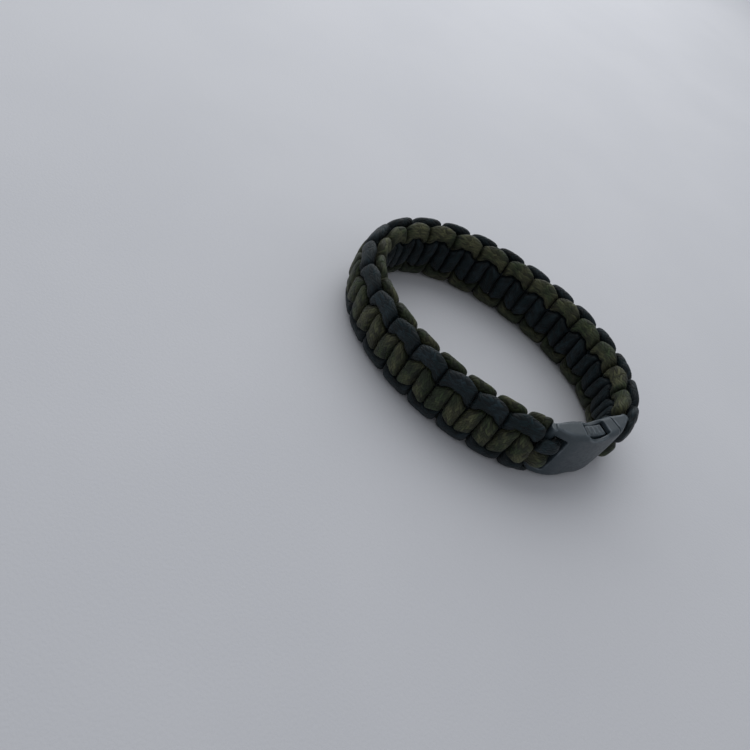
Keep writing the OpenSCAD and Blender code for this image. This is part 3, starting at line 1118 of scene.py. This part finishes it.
class FlatForm:
    """A form of the buckle before it is bent: x along the band, y across it, z outwards, in mm."""

    ALONG = 0
    ACROSS = 1
    OUTWARDS = 2
    SHORTEST = 1e-6

    @staticmethod
    def box(x: Span, y: Span, z: Span, corner: float = 0.0) -> Piece:
        """A block between pairs of limits, with its upright edges rounded.

        Args:
            x: Limits along the band, in either order.
            y: Limits across it.
            z: Limits outwards.
            corner: Radius of the four edges along z.

        Returns:
            The block.
        """
        limits = (x, y, z)
        bm = bmesh.new()
        bmesh.ops.create_cube(bm, size=1.0)
        bmesh.ops.scale(bm, vec=Vector([abs(b - a) for a, b in limits]), verts=bm.verts)
        bmesh.ops.translate(bm, vec=Vector([(a + b) / 2 for a, b in limits]), verts=bm.verts)
        if corner:
            FlatForm.round_edges(bm, FlatForm.OUTWARDS, corner, segments=5)
        return mesh_of(bm, "flat_block")

    @staticmethod
    def rod(middle: Triple, way: Pointing, radius: float, length: float) -> Piece:
        """A round rod.

        Args:
            middle: Its middle.
            way: Which way it points.
            radius: Its radius.
            length: Its length.

        Returns:
            The rod.
        """
        bm = bmesh.new()
        place = Matrix.Translation(middle) @ Matrix.Rotation(math.pi / 2, 4, way.value)
        bmesh.ops.create_cone(bm, cap_ends=True, segments=64, radius1=radius, radius2=radius,
                              depth=length, matrix=place)
        return mesh_of(bm, "flat_rod")

    @staticmethod
    def plate(outline: list[Span], half_t: float) -> Piece:
        """A flat plate.

        Args:
            outline: Its corners in turn.
            half_t: Half its thickness.

        Returns:
            The plate, with its middle surface at z = 0.
        """
        bm = bmesh.new()
        face = bm.faces.new([bm.verts.new((x, y, -half_t)) for x, y in outline])
        raised = bmesh.ops.extrude_face_region(bm, geom=[face])
        top = [v for v in raised["geom"] if isinstance(v, bmesh.types.BMVert)]
        bmesh.ops.translate(bm, vec=(0, 0, 2 * half_t), verts=top)
        bmesh.ops.recalc_face_normals(bm, faces=bm.faces)
        return mesh_of(bm, "flat_plate")

    @staticmethod
    def round_edges(bm: Form, axis: int, radius: float, segments: int) -> None:
        """Rounds the edges that run along an axis.

        Args:
            bm: The form.
            axis: The axis.
            radius: The edges' radius.
            segments: How many faces each rounding has.
        """
        edges = [e for e in bm.edges
                 if abs((e.verts[0].co - e.verts[1].co)[axis]) > FlatForm.SHORTEST]
        bmesh.ops.bevel(bm, geom=edges, offset=radius, segments=segments, profile=0.5,
                        affect="EDGES", material=-1)

    @staticmethod
    def divide(bm: Form, axis: int, places: Array) -> None:
        """Cuts the form's faces across an axis, so that they can follow a curve.

        Args:
            bm: The form.
            axis: The axis.
            places: Where along it to cut.
        """
        normal = Matrix.Identity(3)[axis]
        for place in places:
            bmesh.ops.bisect_plane(bm, geom=bm.verts[:] + bm.edges[:] + bm.faces[:],
                                   plane_co=normal * float(place), plane_no=normal)

    @staticmethod
    def carve(body: Piece, tool: Piece, how: Carving) -> None:
        """Cuts a tool out of a body or adds it, and removes the tool.

        Args:
            body: The form that is changed.
            tool: The form that changes it.
            how: Whether it is cut out or added.
        """
        modifier = body.modifiers.new("carve", "BOOLEAN")
        modifier.operation = how.value
        modifier.solver = "EXACT"
        modifier.object = tool
        apply_modifiers(body)
        bpy.data.objects.remove(tool)


@dataclass
class BuckleHalf:
    """What both halves of the buckle share: a crowned body, thinned to a bar, with a strap slot."""

    name: str
    node: str
    finish: AcetalFinish
    path: BandPath
    side: int
    crown: float = 0.35
    slot_corner: float = 0.7
    past: float = 1.0
    lap: float = 0.5
    step_along: float = 0.5
    cuts_across: int = 7
    voxel: float = 0.16
    soften: int = 4
    sharp_turn: float = 0.12
    wear_spread: int = 2

    def body(self, inner: float) -> Piece:
        """The half's outer form, from its strap bar to its inner end.

        Args:
            inner: Where the body ends, towards the buckle's middle.

        Returns:
            The flat body with its slot cut and its bar in place.
        """
        z = self.path.sizes
        half_w, half_t = z.buckle_half_w, z.thickness / 2
        bar_at = self.side * (z.tip - z.bar_inset)
        body = FlatForm.box((bar_at, inner), (-half_w, half_w), (-half_t, half_t))
        bm = bmesh.new()
        bm.from_mesh(body.data)
        FlatForm.round_edges(bm, FlatForm.ALONG, z.edge_r, segments=6)
        low, high = sorted((bar_at, inner))
        step = self.step_along
        FlatForm.divide(bm, FlatForm.ALONG, np.arange(math.ceil(low / step) * step, high, step))
        FlatForm.divide(bm, FlatForm.ACROSS, np.arange(-self.cuts_across, self.cuts_across + 1.0))
        for vert in bm.verts:
            crowning = 1 - self.crown / half_t * (vert.co.y / half_w) ** 2
            vert.co.z *= self._thinning(abs(vert.co.x)) * crowning
        bm.to_mesh(body.data)
        bm.free()
        slot = FlatForm.box((self.side * (z.tip + self.past), self.side * (z.tip - z.slot_reach)),
                            (-z.slot_half_w, z.slot_half_w), (-z.thickness, z.thickness),
                            self.slot_corner)
        FlatForm.carve(body, slot, Carving.CUT)
        bar = FlatForm.rod((bar_at, 0, 0), Pointing.ACROSS, z.bar_d / 2, 2 * (half_w - z.bar_end))
        FlatForm.carve(body, bar, Carving.ADD)
        return body

    def _thinning(self, distance: float) -> float:
        """Share of the full thickness that the body has left.

        Args:
            distance: How far from the buckle's middle.

        Returns:
            The share, which falls towards the bar.
        """
        z = self.path.sizes
        bar_at = z.tip - z.bar_inset
        full_at = z.tip - z.slot_reach - z.taper_len
        f = min(max((bar_at - distance) / (bar_at - full_at), 0), 1)
        thin = z.bar_d / 2 - z.rail_step
        return (thin + (z.thickness / 2 - thin) * math.sin(math.pi / 2 * f)) / (z.thickness / 2)

    def finish_piece(self, body: Piece, forms: list[Piece], how: Carving) -> None:
        """Carves the body, softens its edges, bends it to the loop and dresses it.

        Args:
            body: The flat body.
            forms: The flat forms that change it, in turn.
            how: Whether they are cut out or added.
        """
        for form in forms:
            FlatForm.carve(body, form, how)
        remesh = body.modifiers.new("skin", "REMESH")
        remesh.mode = "VOXEL"
        remesh.voxel_size = self.voxel
        apply_modifiers(body)
        bm = bmesh.new()
        bm.from_mesh(body.data)
        for _ in range(self.soften):
            bmesh.ops.smooth_vert(bm, verts=bm.verts, factor=0.5, use_axis_x=True, use_axis_y=True,
                                  use_axis_z=True)
        for face in bm.faces:
            face.smooth = True
        edges = self._edge_values(bm)
        bm.to_mesh(body.data)
        bm.free()
        bent = self.path.on_buckle(vertex_array(body.data)) * MM
        body.data.vertices.foreach_set("co", bent.ravel())
        body.data.update()
        layer = body.data.attributes.new("edge", "FLOAT", "POINT")
        layer.data.foreach_set("value", edges.astype(np.float32))
        body.name = body.data.name = self.name
        dress(body, self.node, self.finish)
        log.info("%s: %d faces", self.name, len(body.data.polygons))

    def _edge_values(self, bm: Form) -> Array:
        """Finds the edges that wear rubs.

        Args:
            bm: The softened form.

        Returns:
            How sharply the skin turns outwards at each point, from 0 to 1.
        """
        bm.normal_update()
        turn = np.array([
            np.mean([e.calc_face_angle_signed(0.0) for e in v.link_edges]) for v in bm.verts
        ])
        pairs = np.array([[e.verts[0].index, e.verts[1].index] for e in bm.edges])
        for _ in range(self.wear_spread):
            total, count = turn.copy(), np.ones(len(turn))
            np.add.at(total, pairs[:, 0], turn[pairs[:, 1]])
            np.add.at(total, pairs[:, 1], turn[pairs[:, 0]])
            np.add.at(count, pairs.ravel(), 1)
            turn = total / count
        return np.clip(turn / self.sharp_turn, 0, 1)


@dataclass
class BuckleSocket(BuckleHalf):
    """The half that the prongs lock into: a pocket, a window each side and finger notches."""

    side: int = -1

    def build(self) -> None:
        """Carves and finishes the socket."""
        z = self.path.sizes
        body = self.body(z.mouth)
        half_w, half_t, outside = z.pocket_half_w, z.pocket_half_t, z.buckle_half_w
        tools = [FlatForm.box((z.pocket_end, z.mouth + self.past), (-half_w, half_w), (-half_t, half_t))]
        middle = (z.window_a + z.window_b) / 2
        for way in (-1, 1):
            tools.append(FlatForm.box((z.window_b, z.window_a),
                                      (way * (half_w - self.lap), way * (outside + self.past)),
                                      (-z.window_half_t, z.window_half_t)))
            tools.append(FlatForm.rod((middle, way * (outside + z.notch_r - z.notch_depth), 0),
                                      Pointing.OUTWARDS, z.notch_r, 3 * z.thickness))
        self.finish_piece(body, tools, Carving.CUT)


@dataclass
class BucklePlug(BuckleHalf):
    """The half with the two prongs, whose heads are the release buttons, and a middle guide."""

    side: int = 1
    ridge_r: float = 0.36
    ridge_inset: float = 0.2
    ridges: int = 4

    def build(self) -> None:
        """Carves and finishes the plug."""
        z = self.path.sizes
        body = self.body(z.seam)
        prong_t = z.window_half_t - z.play
        root_t = z.pocket_half_t - z.play
        root_w = z.pocket_half_w - z.play
        guide_t = prong_t - z.play
        nose = z.pocket_end + 2 * z.play
        parts = [
            FlatForm.box((z.seam - z.root_len, z.seam + self.lap), (-root_w, root_w), (-root_t, root_t)),
            FlatForm.box((nose + z.guide_back, z.seam), (-z.guide_w / 2, z.guide_w / 2),
                         (-guide_t, guide_t)),
        ]
        low, high = z.window_b + z.play + z.button_slope, z.window_a - z.latch_gap
        for way in (-1, 1):
            parts.append(self._prong(way, root_w, nose, prong_t))
            for k in range(self.ridges):
                x = low + (high - low) * (k + 0.5) / self.ridges
                parts.append(FlatForm.rod((x, way * (z.buckle_half_w - z.button_drop), 0),
                                          Pointing.OUTWARDS, self.ridge_r,
                                          2 * prong_t - 2 * self.ridge_inset))
        self.finish_piece(body, parts, Carving.ADD)

    def _prong(self, way: int, root_w: float, nose: float, half_t: float) -> Piece:
        """One prong: an arm from the root to a wide head with a sloped nose.

        Args:
            way: 1 or -1, for the side that it is on.
            root_w: Half the root's width.
            nose: Where the prong ends.
            half_t: Half its thickness.

        Returns:
            The flat prong.
        """
        z = self.path.sizes
        side = root_w - z.flex_gap
        inner = side - z.arm_w
        button = z.buckle_half_w - z.button_drop
        head_a, head_b = z.window_a - z.latch_gap, z.window_b + z.play
        root_in = z.seam - z.root_len + self.lap
        outline = [
            (root_in, inner), (root_in, side), (head_a, side), (head_a, button),
            (head_b + z.button_slope, button), (head_b, side), (nose, inner + z.nose_w / 2),
            (nose, inner - z.nose_w / 2), (head_b, inner - z.head_belly), (head_a, inner),
        ]
        return FlatForm.plate([(x, way * y) for x, y in outline], half_t)


@dataclass(frozen=True)
class LightPanel:
    """A square light panel that faces the bracelet."""

    name: str
    place: Triple
    size: float
    power: float
    colour: Triple

    def hang(self) -> None:
        """Makes the light and turns it to the bracelet."""
        data = bpy.data.lights.new(self.name, "AREA")
        data.size, data.energy, data.color = self.size, self.power, self.colour
        panel = bpy.data.objects.new(self.name, data)
        turn = (-Vector(self.place)).to_track_quat("-Z", "Y").to_matrix().to_4x4()
        panel.matrix_world = Matrix.Translation(self.place) @ turn
        bpy.context.scene.collection.objects.link(panel)


@dataclass
class Studio:
    """The pale surface, the soft light and the camera at the photo's angle."""

    floor_half: float = 1.5
    camera_at: Triple = (0.01221, -0.16222, 0.13631)
    looks_along: Triple = (-0.1492, 0.6916, -0.7067)
    camera_up: Triple = (-0.6328, 0.4824, 0.6057)
    focal_px: float = 740.0
    frame_px: float = 750.0
    sensor_mm: float = 36.0
    nearest: float = 0.01
    panels: tuple[LightPanel, ...] = (
        LightPanel("window_light", (-0.235, 0.265, 0.33), 0.75, 2.15, (0.97, 0.985, 1.0)),
        LightPanel("room_light", (0.5, -0.45, 0.5), 0.9, 0.2, (1.0, 0.98, 0.96)),
    )
    sky_colour: Triple = (0.84, 0.87, 0.93)
    sky_strength: float = 0.47

    def camera(self) -> None:
        """Makes the camera where the fit to the photo's stitches puts it."""
        data = bpy.data.cameras.new("camera")
        data.sensor_width = self.sensor_mm
        data.lens = self.sensor_mm * self.focal_px / self.frame_px
        data.clip_start = self.nearest
        back = -Vector(self.looks_along).normalized()
        right = Vector(self.camera_up).cross(back).normalized()
        turn = Matrix((right, back.cross(right), back)).transposed().to_4x4()
        camera = bpy.data.objects.new("camera", data)
        camera.matrix_world = Matrix.Translation(self.camera_at) @ turn
        bpy.context.scene.collection.objects.link(camera)
        bpy.context.scene.camera = camera

    def floor(self) -> None:
        """Lays the pale surface under the bracelet."""
        bm = bmesh.new()
        bmesh.ops.create_grid(bm, x_segments=1, y_segments=1, size=self.floor_half)
        floor = mesh_of(bm, "floor")
        floor.data.materials.append(TabletopFinish().material())

    def lights(self) -> None:
        """Hangs a large soft light over the far side and a weak one opposite, under a pale sky."""
        for panel in self.panels:
            panel.hang()
        world = bpy.data.worlds.new("sky")
        world.use_nodes = True
        sky = world.node_tree.nodes["Background"]
        sky.inputs["Color"].default_value = (*self.sky_colour, 1.0)
        sky.inputs["Strength"].default_value = self.sky_strength
        bpy.context.scene.world = world
        bpy.context.scene.view_settings.view_transform = "Standard"


OLIVE = SheathFinish("olive_sheath", "olive_cord", (0.023, 0.034, 0.0145), (0.063, 0.065, 0.032),
                     sheen=0.04, roughness=0.54)
BLACK = SheathFinish("black_sheath", "black_cord", (0.0018, 0.0088, 0.0108), (0.0112, 0.021, 0.0262),
                     sheen=0.03, roughness=0.52)
PLASTIC = AcetalFinish("buckle_acetal", "buckle_plastic", (0.030, 0.043, 0.052), (0.10, 0.122, 0.14),
                       roughness=0.42)


def main() -> None:
    """Builds and dresses the whole bracelet and its surroundings."""
    logging.basicConfig(level=logging.INFO, format="%(name)s: %(message)s")
    sizes = BraceletSizes()
    path = BandPath(sizes)
    studio = Studio()
    studio.camera()
    cords = [
        WovenCord("olive_sheath", "olive_cord", Facing.BARS_OUTSIDE, OLIVE, path, seed=11),
        WovenCord("black_sheath", "black_cord", Facing.BARS_INSIDE, BLACK, path, seed=29),
    ]
    for cord in cords:
        cord.shape()
    hard = [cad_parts["buckle_socket"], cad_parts["buckle_plug"]]
    Weave(cords, BandSection(sizes)).swell(hard)
    for cord in cords:
        cord.build()
    BuckleSocket("buckle_socket_shell", "buckle_socket", PLASTIC, path).build()
    BucklePlug("buckle_plug_body", "buckle_plug", PLASTIC, path).build()
    studio.floor()
    studio.lights()


if __name__ == "__main__":
    main()
